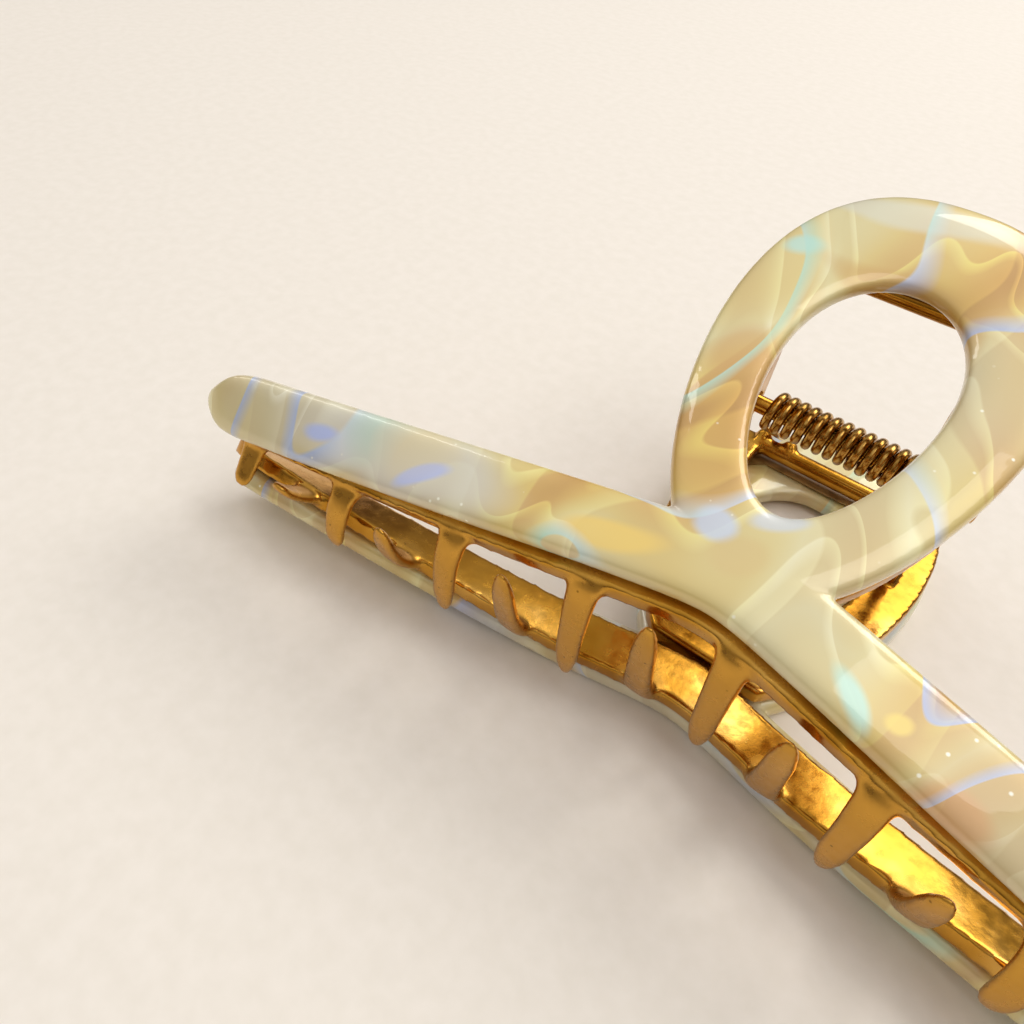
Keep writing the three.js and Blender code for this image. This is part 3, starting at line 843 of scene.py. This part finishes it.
for obj in covers:
    dressed(obj, pearl)
for obj in castings + [pin_piece]:
    dressed(obj, gold)
dressed(spring_piece, wire_gold)
for name in ("rear_glue_line", "front_glue_line"):
    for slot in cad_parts[name].material_slots:
        slot.material = amber
print("dressed", len(covers) + len(castings) + 2, "new pieces and 2 glue lines")

# %% [markdown]
# ## Table and light
# A warm white table, one large soft light from above and behind the handles, and a weak fill.
# Gold shows mostly what it mirrors, so the surroundings are kept a darker warm grey than the
# table, which gives the brown bands in the metal.

# %% Table
# The table lies just under the clip, by less than the thickness of a hair.
table_half, table_drop = 1.5, 0.00005
floor_shape = bmesh.new()
bmesh.ops.create_grid(floor_shape, x_segments=2, y_segments=2, size=table_half,
                      matrix=Matrix.Translation((0, 0, -table_drop)))
floor_mesh = bpy.data.meshes.new("table")
floor_shape.to_mesh(floor_mesh)
floor_shape.free()
table = bpy.data.objects.new("table", floor_mesh)
bpy.context.collection.objects.link(table)

# %% Matt paint on the table, with specks about 2 mm apart
paint, where = finish("matt_table")
speck = node(paint, "ShaderNodeTexNoise", {"Vector": where, "Scale": per_mark(2), "Detail": 2.0})
paint_colour = node(paint, "ShaderNodeValToRGB", {0: speck}, stops=[
    (0.3, "ece4d9"), (0.7, "f0e8de")])
skin = node(paint, "ShaderNodeBsdfPrincipled", {"Base Color": paint_colour, "Roughness": 0.9})
node(paint, "ShaderNodeOutputMaterial", {"Surface": skin})
dressed(table, paint)


# %% Lights
def softbox(name, place, size, power, colour, aim=(0, 0, 0.01)):
    data = bpy.data.lights.new(name, "AREA")
    data.shape, data.size, data.size_y = "RECTANGLE", size[0], size[1]
    data.energy, data.color = power, colour
    lamp = bpy.data.objects.new(name, data)
    bpy.context.collection.objects.link(lamp)
    facing = (Vector(place) - Vector(aim)).to_track_quat("Z", "Y").to_matrix().to_4x4()
    lamp.matrix_world = Matrix.Translation(place) @ facing


daylight = (1.0, 0.985, 0.96)
softbox("window", (0.18, 0.55, 0.60), (0.5, 0.4), 2.6, daylight)
softbox("ceiling", (0.30, -0.05, 0.75), (0.5, 0.5), 1.6, daylight)
softbox("strip", (-0.5, 0.1, 0.45), (0.05, 0.5), 0.35, (1.0, 0.98, 0.95))

# %% Room around the table, darker towards the horizon
world = bpy.data.worlds.new("room")
world.use_nodes = True
sky = world.node_tree.nodes["Background"]
direction = node(world, "ShaderNodeTexCoord", {}, "Generated")
rise = node(world, "ShaderNodeSeparateXYZ", {0: direction}, "Z")
walls = node(world, "ShaderNodeValToRGB", {0: rise}, stops=[
    (0.0, "7d7266"), (0.22, "8f857a"), (0.50, "dcd8d2"), (0.85, "ffffff")])
world.node_tree.links.new(walls, sky.inputs["Color"])
sky.inputs["Strength"].default_value = 0.72
bpy.context.scene.world = world
bpy.context.scene.view_settings.view_transform = "Standard"
